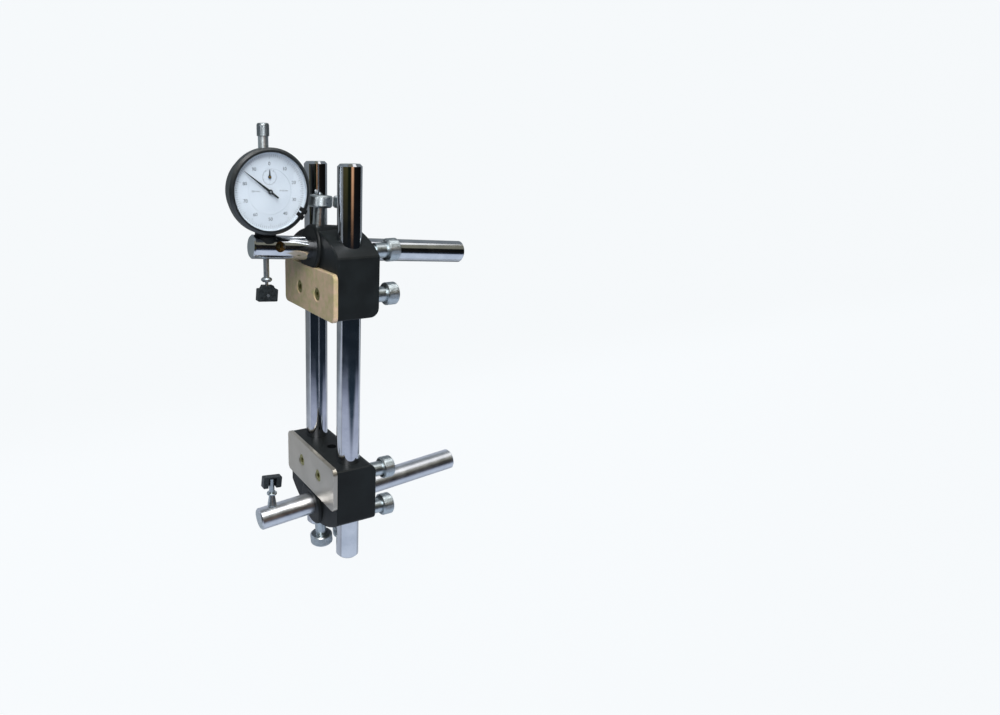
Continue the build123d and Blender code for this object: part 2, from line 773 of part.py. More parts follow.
def wheel_face(teeth, pitch_radius, addendum, dedendum, width, first_angle):
    # face of a spur wheel with straight flanks, one tooth centred on first_angle
    root = pitch_radius - dedendum
    tip = pitch_radius + addendum
    root_half = asin(width * tooth_root_share / root)
    tip_half = asin(width * tooth_tip_share / tip)
    points = []
    for index in range(teeth):
        centre = radians(first_angle) + 2 * pi * index / teeth
        for angle, radius in ((-root_half, root), (-tip_half, tip), (tip_half, tip), (root_half, root)):
            points.append((radius * cos(centre + angle), radius * sin(centre + angle)))
    with BuildSketch() as wheel:
        with BuildLine():
            Polyline(*points, close=True)
        make_face()
    return wheel.sketch


def gear_face(teeth, first_angle):
    radius = gear_module * teeth / 2
    return wheel_face(teeth, radius, gear_addendum, gear_dedendum, gear_module, first_angle)


def make_movement():
    arbor_top = web_top - arbor_end_room
    arbor_foot = bridge_bottom + arbor_end_room / 2
    rack_foot = mid_height - spindle_dia / 2
    to_rack_arbor = degrees(atan2(rack_arbor_y, rack_arbor_x))
    centre_step = 360 / centre_teeth
    gear_step = 360 / gear_teeth
    # rack arbor: pinion in mesh with the rack below the bridge, wheel above it
    with BuildPart() as rack_arbor:
        with BuildSketch(Plane.XY.offset(rack_foot)):
            with Locations(rack_arbor_spot):
                add(wheel_face(pinion_teeth, pinion_radius, pinion_addendum, pinion_dedendum,
                               pinion_tooth, 0))
        extrude(amount=bridge_bottom - arbor_end_room - rack_foot)
        with BuildSketch(Plane.XY.offset(gear_bottom)):
            with Locations(rack_arbor_spot):
                add(gear_face(gear_teeth, to_rack_arbor + 180 + gear_step / 2))
        extrude(amount=gear_thickness)
        add(disc_group([rack_arbor_spot], arbor_dia / 2, rack_foot, arbor_top - rack_foot))
    keep(rack_arbor.part, "rack_pinion_wheel")
    # centre arbor, up through the dial
    with BuildPart() as centre_arbor:
        arbor_height = dial_face + main_arbor_rise - arbor_foot
        add(disc_group([(dial_x, dial_y)], arbor_dia / 2, arbor_foot, arbor_height))
        with BuildSketch(Plane.XY.offset(gear_bottom - pinion_overhang)):
            with Locations((dial_x, dial_y)):
                add(gear_face(centre_teeth, to_rack_arbor))
        extrude(amount=gear_thickness + 2 * pinion_overhang)
    keep(centre_arbor.part, "centre_pinion")
    # counter wheel, driven the slow way round by the centre pinion
    tooth_past = (90 - to_rack_arbor) % centre_step
    gap_angle = 270 + tooth_past * centre_teeth / gear_teeth
    with BuildPart() as counter:
        with BuildSketch(Plane.XY.offset(gear_bottom)):
            with Locations(counter_spot):
                add(gear_face(gear_teeth, gap_angle + gear_step / 2))
        extrude(amount=gear_thickness)
        arbor_height = dial_face + small_arbor_rise - arbor_foot
        add(disc_group([counter_spot], arbor_dia / 2, arbor_foot, arbor_height))
    keep(counter.part, "counter_wheel")
    # bridge that holds the lower pivots
    with BuildPart() as bridge:
        add(disc_group([(dial_x, dial_y)], bridge_radius, bridge_bottom, bridge_thickness))
        arbor_spots = [(dial_x, dial_y), counter_spot, rack_arbor_spot]
        add(disc_group(arbor_spots, arbor_dia / 2 + running_gap, bridge_bottom, bridge_thickness),
            mode=Mode.SUBTRACT)
        add(disc_group(pillar_spots, bridge_screw_dia / 2 + thread_gap, bridge_bottom, bridge_thickness),
            mode=Mode.SUBTRACT)
    keep(bridge.part, "movement_bridge")
    with BuildPart() as bridge_screws:
        add(disc_group(pillar_spots, bridge_screw_head_dia / 2, bridge_bottom - bridge_screw_head_height,
                       bridge_screw_head_height))
        add(disc_group(pillar_spots, bridge_screw_dia / 2, bridge_bottom, bridge_screw_length))
    keep(bridge_screws.part, "bridge_screws")


def hand_plane(spot, height, angle):
    turn = radians(angle)
    return Plane(origin=(spot[0], spot[1], height), x_dir=(cos(turn), sin(turn), 0), z_dir=(0, 0, 1))


def make_hands():
    tip = hand_tip_width / 2
    root = main_hand_root_width / 2
    tail = main_hand_tail_width / 2
    with BuildPart() as hand:
        with BuildSketch(hand_plane((dial_x, dial_y), dial_face + main_hand_lift, main_hand_angle)):
            Circle(main_hand_hub_dia / 2)
            with BuildLine():
                Polyline((0, root), (main_hand_length, tip), (main_hand_length, -tip), (0, -root),
                         (-main_hand_tail, -tail), (-main_hand_tail, tail), close=True)
            make_face()
            Circle(arbor_dia / 2, mode=Mode.SUBTRACT)
        extrude(amount=main_hand_thickness)
    keep(hand.part, "main_hand")
    root = small_hand_root_width / 2
    with BuildPart() as small:
        with BuildSketch(hand_plane(counter_spot, dial_face + small_hand_lift, small_hand_angle)):
            Circle(small_hand_hub_dia / 2)
            with BuildLine():
                Polyline((0, root), (small_hand_length, tip), (small_hand_length, -tip), (0, -root),
                         close=True)
            make_face()
            Circle(arbor_dia / 2, mode=Mode.SUBTRACT)
        extrude(amount=small_hand_thickness)
    keep(small.part, "small_hand")


def make_indicator_shoe():
    across = shoe_plane(indicator_shoe_y, indicator_shoe_tilt)
    slot_width = swing_slot(neck_dia, shoe_height / 2 + shoe_hub_rise)
    slot_floor = shoe_pin_dia + face_gap
    top = shoe_height / 2
    with BuildPart() as shoe:
        # flat bar with a raised middle that takes the spindle's tongue
        with BuildSketch(across.offset(-shoe_depth / 2)):
            RectangleRounded(shoe_length, shoe_height, shoe_corner)
            with BuildLine():
                Polyline((-shoe_hub_base / 2, top), (-shoe_hub_top / 2, top + shoe_hub_rise),
                         (shoe_hub_top / 2, top + shoe_hub_rise), (shoe_hub_base / 2, top), close=True)
            make_face()
        extrude(amount=shoe_depth)
        # slot for the tongue, open at the top, and the cross pin's hole
        with BuildSketch(across.offset(-shoe_slot / 2)):
            with Locations((0, -slot_floor)):
                Rectangle(slot_width, shoe_height * 2, align=(Align.CENTER, Align.MIN))
        extrude(amount=shoe_slot, mode=Mode.SUBTRACT)
        with BuildSketch(across):
            Circle(shoe_pin_dia / 2)
        extrude(amount=shoe_depth, both=True, mode=Mode.SUBTRACT)
    keep(shoe.part, "indicator_shoe")
    with BuildPart() as pin:
        with BuildSketch(across.offset(-shoe_depth / 2)):
            Circle(shoe_pin_dia / 2)
        extrude(amount=shoe_depth + shoe_pin_head)
    keep(pin.part, "indicator_shoe_pin")


def make_anvil():
    # post screwed into the arm: cone, round collar and a flat topped pin
    with BuildPart() as post:
        with BuildSketch(up_plane(dial_x, post_base - post_thread_length + stem_end_room, mid_height)):
            Circle(post_thread_dia / 2)
        extrude(amount=post_thread_length)
        with BuildSketch(Plane(origin=(dial_x, post_base, mid_height), x_dir=(1, 0, 0), z_dir=(0, 0, 1))):
            with BuildLine():
                Polyline((0, stem_end_room), (post_foot_dia / 2, stem_end_room),
                         (post_foot_dia / 2, stem_end_room + post_foot_rim),
                         (post_waist_dia / 2, post_foot_height), (0, post_foot_height), close=True)
            make_face()
        revolve(axis=Axis((dial_x, post_base, mid_height), (0, 1, 0)))
        with BuildSketch(up_plane(dial_x, post_nut_bottom, mid_height)):
            Circle(post_pin_dia / 2)
        extrude(amount=anvil_shoe_y + post_head - post_nut_bottom)
        # flat on the far side for the shoe's back wall, and a blind cross hole
        flat_start = post_nut_bottom + post_nut_height + post_flat_start
        with BuildSketch(up_plane(dial_x, flat_start, mid_height)):
            with Locations((0, tongue_thickness / 2 + post_pin_dia)):
                Rectangle(post_pin_dia * 2, post_pin_dia * 2)
        extrude(amount=post_reach + post_head, mode=Mode.SUBTRACT)
        with BuildSketch(Plane.XY.offset(mid_height - post_pin_dia)):
            with Locations((dial_x, anvil_shoe_y)):
                Circle(shoe_pin_dia / 2 + running_gap)
        extrude(amount=post_pin_dia + post_cross_depth + seat_gap, mode=Mode.SUBTRACT)
    keep(post.part, "anvil_post")

    with BuildPart() as nut:
        with BuildSketch(up_plane(dial_x, post_nut_bottom, mid_height)):
            Circle(post_nut_dia / 2)
        extrude(amount=post_nut_height)
        fillet(nut.edges(), radius=post_nut_rounding)
        with BuildSketch(up_plane(dial_x, post_nut_bottom, mid_height)):
            Circle(post_pin_dia / 2 + seat_gap)
        extrude(amount=post_nut_height, mode=Mode.SUBTRACT)
    keep(nut.part, "anvil_post_nut")

    across = shoe_plane(anvil_shoe_y, anvil_shoe_tilt)
    slot_width = swing_slot(post_pin_dia, post_grip)
    slot_top = post_head + post_pin_dia / 2 * tan(radians(shoe_swivel)) + face_gap
    with BuildPart() as shoe:
        with BuildSketch(across.offset(-shoe_depth / 2)):
            with Locations((0, shoe_height / 2 - post_grip)):
                RectangleRounded(shoe_length, shoe_height, shoe_corner)
        extrude(amount=shoe_depth)
        # slot for the post, open below and to the dial side
        with BuildSketch(across.offset(-shoe_slot / 2)):
            with Locations((0, slot_top)):
                Rectangle(slot_width, shoe_height * 2, align=(Align.CENTER, Align.MAX))
        extrude(amount=shoe_depth, mode=Mode.SUBTRACT)
        with BuildSketch(across):
            Circle(shoe_pin_dia / 2)
        extrude(amount=-shoe_depth, mode=Mode.SUBTRACT)
    keep(shoe.part, "anvil_shoe")
    with BuildPart() as pin:
        with BuildSketch(across.offset(-shoe_depth / 2)):
            Circle(shoe_pin_dia / 2)
        extrude(amount=shoe_depth / 2 + post_cross_depth)
    keep(pin.part, "anvil_shoe_pin")


def clamp_y():
    return arm_offset - clamp_x * tan(tilt) + clamp_rise


def make_stem_clamp():
    # brass cotter in the arm's side hole, drawn against the stem by a screw from behind
    spot = (clamp_x, clamp_y())
    half = sqrt(arm_radius ** 2 - clamp_rise ** 2)
    front = mid_height + half - clamp_recess
    back = mid_height - half + clamp_recess
    cotter_bottom = mid_height - clamp_cotter_below
    head_bottom = back - clamp_head_sink
    head_top = head_bottom + clamp_head_height
    with BuildPart() as cotter:
        with BuildSketch(Plane.XY.offset(cotter_bottom)):
            with Locations(spot):
                Circle(clamp_hole_dia / 2 - seat_gap)
                Circle(clamp_screw_dia / 2 + thread_gap, mode=Mode.SUBTRACT)
        extrude(amount=front - cotter_bottom)
        with BuildSketch(up_plane(dial_x, stem_bottom, mid_height)):
            Circle(stem_dia / 2 + seat_gap)
        extrude(amount=arm_dia, both=True, mode=Mode.SUBTRACT)
    keep(cotter.part, "stem_clamp_cotter")
    with BuildPart() as screw:
        with BuildSketch(Plane.XY.offset(head_bottom)):
            with Locations(spot):
                Circle(clamp_hole_dia / 2 - clamp_head_room)
        extrude(amount=clamp_head_height)
        with BuildSketch(Plane.XY.offset(head_bottom)):
            with Locations(spot):
                RegularPolygon(clamp_socket / 2, 6, major_radius=False)
        extrude(amount=clamp_socket_depth, mode=Mode.SUBTRACT)
        with BuildSketch(Plane.XY.offset(head_top)):
            with Locations(spot):
                Circle(clamp_screw_dia / 2)
        extrude(amount=front - clamp_screw_tip_room - head_top)
        with BuildSketch(up_plane(dial_x, stem_bottom, mid_height)):
            Circle(stem_dia / 2 + seat_gap)
        extrude(amount=arm_dia, both=True, mode=Mode.SUBTRACT)
    keep(screw.part, "stem_clamp_screw")


make_columns()
for label, (side, centre_y) in sides.items():
    make_block(label + "_block", side, centre_y)
    make_plate(label + "_rest_plate", side, centre_y)
    make_plate_screws(label + "_plate_screws", side, centre_y)
    make_arm(label + "_arm", side, centre_y, indicator_saddle_y if side > 0 else anvil_saddle_y)
    make_thumb_screws(label, side, centre_y)
make_case()
make_bezel()
make_markers()
make_foot()
make_stem()
make_spindle()
make_movement()
make_hands()
make_indicator_shoe()
make_anvil()
make_stem_clamp()
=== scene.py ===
import json
from math import cos, pi, radians, sin
import bpy
import bmesh
from mathutils import Matrix, Vector


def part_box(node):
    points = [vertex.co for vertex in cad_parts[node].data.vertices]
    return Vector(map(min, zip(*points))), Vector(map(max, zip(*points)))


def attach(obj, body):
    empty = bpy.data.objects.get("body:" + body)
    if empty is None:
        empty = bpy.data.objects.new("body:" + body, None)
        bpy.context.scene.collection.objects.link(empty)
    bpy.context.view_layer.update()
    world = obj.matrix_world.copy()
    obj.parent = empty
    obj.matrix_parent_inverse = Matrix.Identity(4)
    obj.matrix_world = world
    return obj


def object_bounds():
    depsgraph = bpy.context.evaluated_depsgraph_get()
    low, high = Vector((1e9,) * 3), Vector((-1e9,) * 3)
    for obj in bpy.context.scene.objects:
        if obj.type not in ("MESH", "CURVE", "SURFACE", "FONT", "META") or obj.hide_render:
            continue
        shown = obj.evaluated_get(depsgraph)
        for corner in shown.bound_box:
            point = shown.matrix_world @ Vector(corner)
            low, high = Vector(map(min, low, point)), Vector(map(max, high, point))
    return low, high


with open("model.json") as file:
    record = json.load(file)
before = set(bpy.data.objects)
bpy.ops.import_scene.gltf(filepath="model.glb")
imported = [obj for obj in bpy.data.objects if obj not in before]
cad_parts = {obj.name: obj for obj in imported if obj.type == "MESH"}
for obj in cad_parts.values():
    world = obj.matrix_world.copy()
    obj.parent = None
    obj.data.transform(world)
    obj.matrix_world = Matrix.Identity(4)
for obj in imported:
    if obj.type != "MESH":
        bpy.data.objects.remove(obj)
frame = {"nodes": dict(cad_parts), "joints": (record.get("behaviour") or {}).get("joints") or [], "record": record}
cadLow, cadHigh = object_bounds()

# Thread pitch diameter gauge, lying on the end faces of its blocks with the dial up.
# Metres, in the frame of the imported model. The Y axis runs up the columns.
print("stage 1: camera, floor and light")

mm = 0.001
smooth = {"interpolation_type": "SMOOTHSTEP"}
mixColours = {"data_type": "RGBA"}
# a Mix node's sockets share their names, so they are called by number, with 0 for its factor
numberA, numberB = 2, 3
colourA, colourB = 6, 7
mixedColour = 2


def linear(hexColour):
    # sRGB hex to the linear values that a shader works in
    values = [int(hexColour[i:i + 2], 16) / 255 for i in (1, 3, 5)]
    bent = [v / 12.92 if v <= 0.04045 else ((v + 0.055) / 1.055) ** 2.4 for v in values]
    return (*bent, 1.0)


def scaleFor(sizeMm):
    # texture scale that gives a pattern of this real size on coordinates in metres
    return 1 / (sizeMm * mm)


def addNode(tree, kind, settings=None, inputs=None, stops=()):
    # one node with its settings, its input values, the links that come into it and a ramp's stops
    node = tree.nodes.new("ShaderNode" + kind)
    for name, value in (settings or {}).items():
        setattr(node, name, value)
    for socket, value in (inputs or {}).items():
        if isinstance(value, bpy.types.NodeSocket):
            tree.links.new(value, node.inputs[socket])
        else:
            node.inputs[socket].default_value = value
    for index, (place, colour) in enumerate(stops):
        elements = node.color_ramp.elements
        element = elements[index] if index < 2 else elements.new(place)  # a new ramp has two
        element.position = place
        element.color = linear(colour)
    return node


def emptyMaterial(name):
    material = bpy.data.materials.new(name)
    material.use_nodes = True
    material.node_tree.nodes.clear()
    return material, material.node_tree


# camera, solved from the photograph's perspective, its sideways shift kept small
view = {
    "placeMm": (-208.7, 92.5, 471.8),
    "right": (0.8894, 0.0073, 0.4570),
    "up": (0.1173, 0.9628, -0.2436),
    "lens": 25.69, "sensor": 36.0, "shift": (0.15, -0.020),
    "nearest": 0.01, "farthest": 50.0,
}


def makeCamera():
    data = bpy.data.cameras.new("camera")
    data.sensor_width = view["sensor"]
    data.lens = view["lens"]
    data.shift_x, data.shift_y = view["shift"]
    data.clip_start = view["nearest"]
    data.clip_end = view["farthest"]
    camera = bpy.data.objects.new("camera", data)
    right = Vector(view["right"]).normalized()
    up = Vector(view["up"])
    up = (up - up.dot(right) * right).normalized()
    turned = Matrix((right, up, right.cross(up))).transposed().to_4x4()
    camera.matrix_world = Matrix.Translation(Vector(view["placeMm"]) * mm) @ turned
    bpy.context.scene.collection.objects.link(camera)
    bpy.context.scene.camera = camera


floor = {"width": 12.0, "dropMm": 0.02,
         "near": "#c3ccdb", "nearMm": -135.0, "far": "#46545c", "farMm": -70.0,
         "seen": "#fafdff", "seenShare": 0.96, "mirroredShare": 0.2}


def makeFloor():
    # pale studio sweep: it keeps the shadow, is lifted to near white where the camera sees it,
    # and is lifted less in metal and glass, so that their edges stay darker than the background.
    # It darkens towards the far end, which the columns mirror at their tops.
    material, tree = emptyMaterial("paperSweep")
    path = addNode(tree, "LightPath")
    through = addNode(tree, "Math", {"operation": "MAXIMUM"}, {
        0: path.outputs["Is Glossy Ray"], 1: path.outputs["Is Transmission Ray"]})
    mirrored = addNode(tree, "Math", {"operation": "MULTIPLY"}, {
        0: through.outputs[0], 1: floor["mirroredShare"]})
    seen = addNode(tree, "Math", {"operation": "MULTIPLY"}, {
        0: path.outputs["Is Camera Ray"], 1: floor["seenShare"]})
    share = addNode(tree, "Math", {"operation": "MAXIMUM"}, {0: mirrored.outputs[0], 1: seen.outputs[0]})
    coords = addNode(tree, "TexCoord")
    places = addNode(tree, "SeparateXYZ", {}, {"Vector": coords.outputs["Object"]})
    farness = addNode(tree, "MapRange", smooth, {
        "Value": places.outputs["Y"], "From Min": floor["nearMm"] * mm, "From Max": floor["farMm"] * mm})
    shade = addNode(tree, "Mix", mixColours, {
        0: farness.outputs[0], colourA: linear(floor["near"]), colourB: linear(floor["far"])})
    paper = addNode(tree, "BsdfDiffuse", {}, {"Color": shade.outputs[mixedColour]})
    lifted = addNode(tree, "Emission", {}, {"Color": linear(floor["seen"]), "Strength": 1.0})
    mixed = addNode(tree, "MixShader", {}, {0: share.outputs[0], 1: paper.outputs[0], 2: lifted.outputs[0]})
    addNode(tree, "OutputMaterial", {}, {"Surface": mixed.outputs[0]})
    half = floor["width"] / 2
    mesh = bpy.data.meshes.new("floor")
    corners = [(-half, -half, 0), (half, -half, 0), (half, half, 0), (-half, half, 0)]
    mesh.from_pydata(corners, [], [(0, 1, 2, 3)])
    mesh.materials.append(material)
    sweep = bpy.data.objects.new("floor", mesh)
    bpy.context.scene.collection.objects.link(sweep)
    sweep.location.z = cadLow.z - floor["dropMm"] * mm


# the room that the chrome mirrors: a pale table low down, a dark side with warm and green streaks,
# an olive wall above and a white ceiling box. Heights are the sine of the angle above the plane
# across the columns, turns are degrees round the columns with 0 straight up from the floor.
room = {
    "table": [(-0.54, "#dae6f8"), (-0.4, "#c3cbe0"), (-0.31, "#a7aec6")],
    "tableEdge": -0.335, "edgeSoft": 0.035, "dip": 0.075, "dipTurn": 8.0, "dipHalfTurn": 50.0,
    "shade": [(-0.44, "#3a5063"), (-0.3, "#222b35"), (-0.14, "#171b20"), (0.0, "#101214")],
    "streaks": [(-180, "#101214"), (-112, "#4f5c63"), (-104, "#151a2a"), (-96, "#4d4831"), (-50, "#4b4a2c"),
                (-38, "#141d10"), (-17, "#141d10"), (-7, "#ffc294"), (4, "#ffc294"), (14, "#1a1714"),
                (90, "#0b0c0d")],
    "wall": "#8b8a7c", "ceiling": "#ffffff", "ceilingStrength": 1.5,
    # heights between which each comes in or goes out, and its share below and above them
    "fades": {
        "streaksIn": (-0.155, -0.03, 0.0, 1.0), "streaksOut": (0.03, 0.16, 1.0, 0.0),
        "wallIn": (0.36, 0.42, 0.0, 1.0),
        "ceilingIn": (0.74, 0.77, 0.0, 1.0), "ceilingOut": (0.95, 0.98, 1.0, 0.0),
    },
    "seen": "#f3f8fd",
}


def makeWorld():
    world = bpy.data.worlds.new("studio")
    bpy.context.scene.world = world
    world.use_nodes = True
    tree = world.node_tree
    tree.nodes.clear()
    coords = addNode(tree, "TexCoord")
    axes = addNode(tree, "SeparateXYZ", {}, {"Vector": coords.outputs["Generated"]})
    level = axes.outputs["Y"]
    height = addNode(tree, "MapRange", {}, {"Value": level, "From Min": -1.0, "From Max": 1.0})
    around = addNode(tree, "Math", {"operation": "ARCTAN2"}, {0: axes.outputs["X"], 1: axes.outputs["Z"]})
    turn = addNode(tree, "MapRange", {}, {"Value": around.outputs[0], "From Min": -pi, "From Max": pi})
    share = {}
    for name, (start, stop, below, above) in room["fades"].items():
        fade = addNode(tree, "MapRange", smooth, {
            "Value": level, "From Min": start, "From Max": stop, "To Min": below, "To Max": above})
        share[name] = fade.outputs[0]
    # warm and green streaks near the level plane, on a shaded wall that is paler low down
    streaks = addNode(tree, "ValToRGB", {}, {"Fac": turn.outputs[0]},
                      [((degrees + 180) / 360, colour) for degrees, colour in room["streaks"]])
    shade = addNode(tree, "ValToRGB", {}, {"Fac": height.outputs[0]},
                    [((sine + 1) / 2, colour) for sine, colour in room["shade"]])
    streakShare = addNode(tree, "Math", {"operation": "MULTIPLY"}, {
        0: share["streaksIn"], 1: share["streaksOut"]})
    side = addNode(tree, "Mix", mixColours, {
        0: streakShare.outputs[0], colourA: shade.outputs[0], colourB: streaks.outputs[0]})
    # table's far edge, dipped where something stands in its light
    off = addNode(tree, "Math", {"operation": "SUBTRACT"}, {
        0: around.outputs[0], 1: radians(room["dipTurn"])})
    offTurn = addNode(tree, "Math", {"operation": "ABSOLUTE"}, {0: off.outputs[0]})
    dip = addNode(tree, "MapRange", smooth, {
        "Value": offTurn.outputs[0], "From Min": 0.0, "From Max": radians(room["dipHalfTurn"]),
        "To Min": room["dip"], "To Max": 0.0})
    lowered = addNode(tree, "Math", {"operation": "ADD"}, {0: level, 1: dip.outputs[0]})
    offTable = addNode(tree, "MapRange", smooth, {
        "Value": lowered.outputs[0], "From Min": room["tableEdge"] - room["edgeSoft"],
        "From Max": room["tableEdge"] + room["edgeSoft"]})
    table = addNode(tree, "ValToRGB", {}, {"Fac": height.outputs[0]},
                    [((sine + 1) / 2, colour) for sine, colour in room["table"]])
    low = addNode(tree, "Mix", mixColours, {
        0: offTable.outputs[0], colourA: table.outputs[0], colourB: side.outputs[mixedColour]})
    walled = addNode(tree, "Mix", mixColours, {
        0: share["wallIn"], colourA: low.outputs[mixedColour], colourB: linear(room["wall"])})
    underCeiling = addNode(tree, "Math", {"operation": "MULTIPLY"}, {
        0: share["ceilingIn"], 1: share["ceilingOut"]})
    lit = addNode(tree, "Mix", mixColours, {
        0: underCeiling.outputs[0], colourA: walled.outputs[mixedColour], colourB: linear(room["ceiling"])})
    strength = addNode(tree, "MapRange", {}, {
        "Value": underCeiling.outputs[0], "To Min": 1.0, "To Max": room["ceilingStrength"]})
    mirrored = addNode(tree, "Background", {}, {
        "Color": lit.outputs[mixedColour], "Strength": strength.outputs[0]})
    seen = addNode(tree, "Background", {}, {"Color": linear(room["seen"]), "Strength": 1.0})
    path = addNode(tree, "LightPath")
    mixed = addNode(tree, "MixShader", {}, {
        0: path.outputs["Is Camera Ray"], 1: mirrored.outputs[0], 2: seen.outputs[0]})
    addNode(tree, "OutputWorld", {}, {"Surface": mixed.outputs[0]})


# power in watts; only the mirrored lamps show in metal and glass
lamps = {
    "ceilingBox": {"placeMm": (-120, 620, 420), "sizeMm": (520, 420), "power": 4.0, "mirrored": True},
    "frontFill": {"placeMm": (-397, 375, 568), "sizeMm": (300, 300), "power": 2.6, "mirrored": True},
    "farFill": {"placeMm": (420, -120, 560), "sizeMm": (500, 500), "power": 1.0, "mirrored": False},
}


def makeLamps():
    middle = (cadLow + cadHigh) / 2
    for name, lamp in lamps.items():
        data = bpy.data.lights.new(name, "AREA")
        data.shape = "RECTANGLE"
        data.size, data.size_y = (side * mm for side in lamp["sizeMm"])
        data.energy = lamp["power"]
        thing = bpy.data.objects.new(name, data)
        thing.location = Vector(lamp["placeMm"]) * mm
        thing.rotation_mode = "QUATERNION"
        thing.rotation_quaternion = (middle - thing.location).to_track_quat("-Z", "Y")
        thing.visible_glossy = lamp["mirrored"]
        bpy.context.scene.collection.objects.link(thing)


makeCamera()
makeFloor()
makeWorld()
makeLamps()
bpy.context.scene.view_settings.view_transform = "Standard"

print("stage 2: finishes")

grainLow, grainHigh = 0.3, 0.7  # nearly all of a noise pattern lies between these values


def outputSurface(tree, inputs, relief, reliefMm):
    # closes a material with its shader, and with a bump of real height where it has one
    if reliefMm:
        bump = addNode(tree, "Bump", {}, {"Height": relief, "Distance": reliefMm * mm, "Strength": 1.0})
        inputs = {**inputs, "Normal": bump.outputs[0]}
    shader = addNode(tree, "BsdfPrincipled", {}, inputs)
    addNode(tree, "OutputMaterial", {}, {"Surface": shader.outputs[0]})


# grinding lines are drawn coarser than the real ones, as coarse as they need to show
chrome = {"clean": "#d3d5d9", "dull": "#bfc2c8", "hazeMm": 9.0, "lineMm": 0.35, "lineHeightMm": 0.0006,
          "lineSpread": 0.15, "faced": "#bfc6c8", "facedRoughness": 0.5, "facedFrom": 0.9, "facedTo": 0.97}
columnRoughness = (0.045, 0.095)
brightArmRoughness = (0.1, 0.16)
satinArmRoughness = (0.28, 0.36)


def hardChrome(name, axis, roughness):
    # ground and hard chromed steel bar: a dark clear mirror with a faint haze of fine turning lines,
    # and duller grey where the ends were faced off
    material, tree = emptyMaterial(name)
    coords = addNode(tree, "TexCoord")
    haze = addNode(tree, "TexNoise", {}, {
        "Vector": coords.outputs["Object"], "Scale": scaleFor(chrome["hazeMm"]), "Detail": 3.0})
    stretch = tuple(1.0 if part else chrome["lineSpread"] for part in axis)
    drawn = addNode(tree, "Mapping", {}, {"Vector": coords.outputs["Object"], "Scale": stretch})
    lines = addNode(tree, "TexNoise", {}, {
        "Vector": drawn.outputs[0], "Scale": scaleFor(chrome["lineMm"]), "Detail": 2.0})
    facing = addNode(tree, "VectorMath", {"operation": "DOT_PRODUCT"}, {
        0: coords.outputs["Normal"], 1: axis})
    ends = addNode(tree, "Math", {"operation": "ABSOLUTE"}, {0: facing.outputs["Value"]})
    faced = addNode(tree, "MapRange", {}, {
        "Value": ends.outputs[0], "From Min": chrome["facedFrom"], "From Max": chrome["facedTo"]})
    tones = addNode(tree, "ValToRGB", {}, {"Fac": haze.outputs["Fac"]},
                    [(grainLow, chrome["dull"]), (grainHigh, chrome["clean"])])
    colour = addNode(tree, "Mix", mixColours, {
        0: faced.outputs[0], colourA: tones.outputs[0], colourB: linear(chrome["faced"])})
    polish = addNode(tree, "MapRange", {}, {
        "Value": haze.outputs["Fac"], "From Min": grainLow, "From Max": grainHigh,
        "To Min": roughness[0], "To Max": roughness[1]})
    gloss = addNode(tree, "Mix", {"data_type": "FLOAT"}, {
        0: faced.outputs[0], numberA: polish.outputs[0], numberB: chrome["facedRoughness"]})
    outputSurface(tree, {
        "Base Color": colour.outputs[mixedColour],
        "Metallic": 1.0,
        "Roughness": gloss.outputs[0],
    }, lines.outputs["Fac"], chrome["lineHeightMm"])
    return material


enamel = {"deep": "#0f1213", "thin": "#171c1e", "roughness": (0.42, 0.55), "ior": 1.5, "gloss": 0.22,
          "cloudMm": 14.0, "peelMm": 0.9, "peelHeightMm": 0.012}


def satinEnamel():
    # baked black enamel on a machined casting: satin, faintly orange-peeled, greenish where it is thin
    material, tree = emptyMaterial("satinBlackEnamel")
    coords = addNode(tree, "TexCoord")
    cloud = addNode(tree, "TexNoise", {}, {
        "Vector": coords.outputs["Object"], "Scale": scaleFor(enamel["cloudMm"]), "Detail": 3.0})
    peel = addNode(tree, "TexNoise", {}, {
        "Vector": coords.outputs["Object"], "Scale": scaleFor(enamel["peelMm"]), "Detail": 2.0})
    tones = addNode(tree, "ValToRGB", {}, {"Fac": cloud.outputs["Fac"]},
                    [(grainLow, enamel["deep"]), (grainHigh, enamel["thin"])])
    gloss = addNode(tree, "MapRange", {}, {
        "Value": cloud.outputs["Fac"], "From Min": grainLow, "From Max": grainHigh,
        "To Min": enamel["roughness"][0], "To Max": enamel["roughness"][1]})
    outputSurface(tree, {
        "Base Color": tones.outputs[0],
        "Roughness": gloss.outputs[0],
        "IOR": enamel["ior"],
        "Specular IOR Level": enamel["gloss"],
    }, peel.outputs["Fac"], enamel["peelHeightMm"])
    return material


# the lines are drawn coarser than the real ones, as coarse as they need to show
grinding = {"lineMm": 0.22, "lineSpread": 0.012, "heightMm": 0.0006, "roughness": (0.3, 0.36)}
# straw colour and low metallic for the upper rest plate: painted warm reflection
warmReflectionPlate = {"dull": "#b4ab79", "bright": "#d3b69c", "metallic": 0.15, "cloudMm": 5.0}
greyPlate = {"dull": "#b1ab9f", "bright": "#bfb9ae", "metallic": 0.9, "cloudMm": 22.0}


